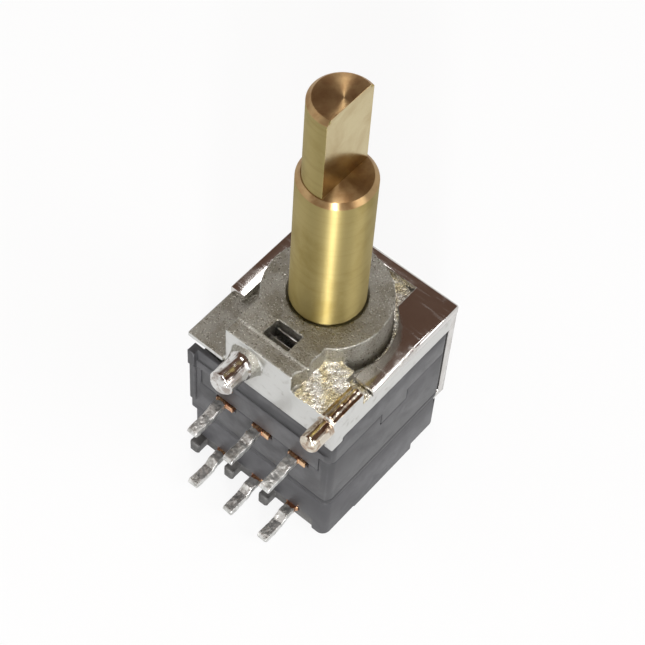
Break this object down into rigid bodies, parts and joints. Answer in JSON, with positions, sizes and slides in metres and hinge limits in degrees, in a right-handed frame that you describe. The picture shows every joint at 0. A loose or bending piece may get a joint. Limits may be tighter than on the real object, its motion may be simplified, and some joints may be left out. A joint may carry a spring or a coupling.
{
  "type": "rotary switch",
  "caption": "Miniature right-angle rotary selector switch with a stepped brass D-shaft, cast bearing housing, steel frame and two rows of solder terminals.",
  "frame": {"origin": "shaft axis at the rear face that the switch stands on", "axes": "+Z along the shaft axis towards its free end, -Y along the terminals and locating posts"},
  "size_m": [0.0097, 0.0127, 0.0284],
  "materials": {
    "zinc_casting": "satin",
    "nickel_steel": "polished",
    "black_plastic": "satin",
    "brass": "polished",
    "tinned_contact": "satin",
    "spring_bronze": "satin",
    "natural_plastic": "satin",
    "bearing_steel": "polished"
  },
  "bodies": {
    "housing": {"bearing_housing": "zinc_casting", "friction_spring": "nickel_steel", "cover_frame": "nickel_steel", "upper_housing": "black_plastic", "middle_housing": "black_plastic", "separator_plate": "black_plastic", "rear_cover": "black_plastic", "upper_wafer": "black_plastic", "base_wafer": "black_plastic", "upper_terminal_left": "tinned_contact", "upper_terminal_middle": "tinned_contact", "upper_terminal_right": "tinned_contact", "lower_terminal_left": "tinned_contact", "lower_terminal_middle": "tinned_contact", "lower_terminal_right": "tinned_contact", "thrust_washer": "bearing_steel", "detent_spring": "bearing_steel"},
    "shaft_set": {"shaft": "brass", "retaining_ring": "bearing_steel", "detent_wheel": "natural_plastic", "upper_rotor": "natural_plastic", "lower_rotor": "natural_plastic", "upper_brush": "spring_bronze", "lower_brush": "spring_bronze"},
    "detent_ball": {"detent_ball": "bearing_steel"}
  },
  "joints": [
    {"name": "shaft_turn", "type": "hinge", "parent": "housing", "child": "shaft_set", "pos_m": [0, 0, 0], "axis": [0, 0, 1], "range_deg": [-157.5, 180]},
    {"name": "ball_travel", "type": "slide", "parent": "housing", "child": "detent_ball", "axis": [0, 1, 0], "range_m": [-0.0002, 0]}
  ]
}
